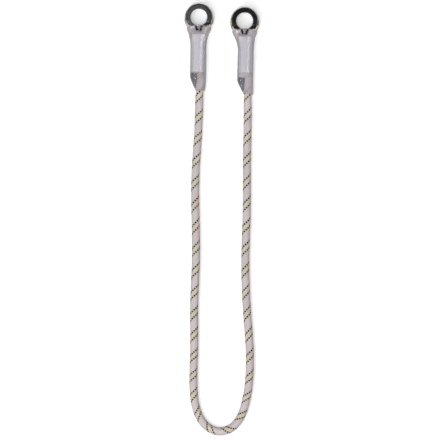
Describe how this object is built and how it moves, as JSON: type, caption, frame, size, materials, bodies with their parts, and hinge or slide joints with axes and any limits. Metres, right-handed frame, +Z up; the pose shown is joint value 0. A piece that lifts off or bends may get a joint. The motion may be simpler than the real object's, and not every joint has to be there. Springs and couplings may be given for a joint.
{
  "type": "safety rope lanyard",
  "caption": "Kernmantle rope lanyard with a sewn thimble eye at each end, laid flat in a long U. A connector clips through each eye to tie a worker or climber to an anchor.",
  "frame": {"origin": "centre of the bounding box's base, on the surface that the lanyard lies on", "axes": "+Y along the legs towards the eyes, +X to the right as pictured, +Z up from the surface to the camera"},
  "size_m": [0.1026, 0.594, 0.017],
  "materials": {
    "rope_sheath": "braided polyamide yarn, matt, with tracer yarns",
    "rope_core": "plain twisted core yarns",
    "thimble": "moulded, black, glossy",
    "tail_seal": "melted and set rope yarn",
    "thread": "polyester sewing thread",
    "label": "bare printed-film stock, pale",
    "shrink_sleeve": "see-through heat-shrink film"
  },
  "bodies": {
    "root": {"rope_sheath": "rope_sheath", "rope_core": "rope_core", "left_eye_sheath": "rope_sheath", "left_eye_core": "rope_core", "left_thimble": "thimble", "left_tail_seal": "tail_seal", "left_needle_thread": "thread", "left_bobbin_thread": "thread", "left_label": "label", "left_sleeve": "shrink_sleeve", "right_eye_sheath": "rope_sheath", "right_eye_core": "rope_core", "right_thimble": "thimble", "right_tail_seal": "tail_seal", "right_needle_thread": "thread", "right_bobbin_thread": "thread", "right_label": "label", "right_sleeve": "shrink_sleeve"}
  },
  "joints": []
}
